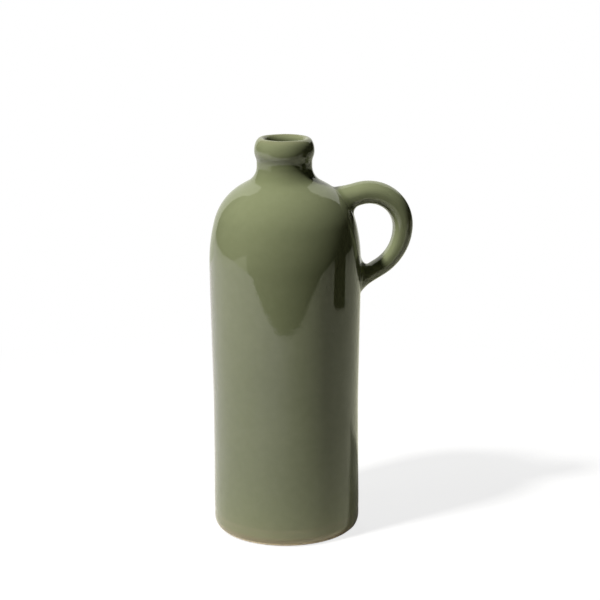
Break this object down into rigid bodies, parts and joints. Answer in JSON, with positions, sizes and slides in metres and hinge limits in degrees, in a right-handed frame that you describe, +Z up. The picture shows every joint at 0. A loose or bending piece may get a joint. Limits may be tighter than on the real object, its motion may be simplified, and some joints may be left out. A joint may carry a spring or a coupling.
{
  "type": "glazed ceramic jug",
  "caption": "Tall bottle-shaped ceramic jug with rounded shoulders, a short neck with a rolled lip, a loop handle and a glossy sage-green glaze.",
  "frame": {"origin": "on the axis of the round body, on the plane of the table that the foot stands on", "axes": "+Z up along the axis of the body and neck, +X along the plane of the loop handle"},
  "size_m": [0.1531, 0.113, 0.3],
  "materials": {
    "bare_clay": "unglazed fired stoneware, fine grained and matt",
    "clay_body": "fired stoneware under the glaze",
    "clay_slip": "fired slip of the luted joints under the glaze",
    "glaze": "glossy sage-green glaze",
    "glaze_inside": "glossy sage-green liner glaze"
  },
  "bodies": {
    "root": {"base_dish": "bare_clay", "body_wall": "clay_body", "lip_ring": "clay_body", "handle": "clay_body", "upper_luting": "clay_slip", "lower_luting": "clay_slip", "outer_glaze": "glaze", "handle_glaze": "glaze", "inner_glaze": "glaze_inside"}
  },
  "joints": []
}
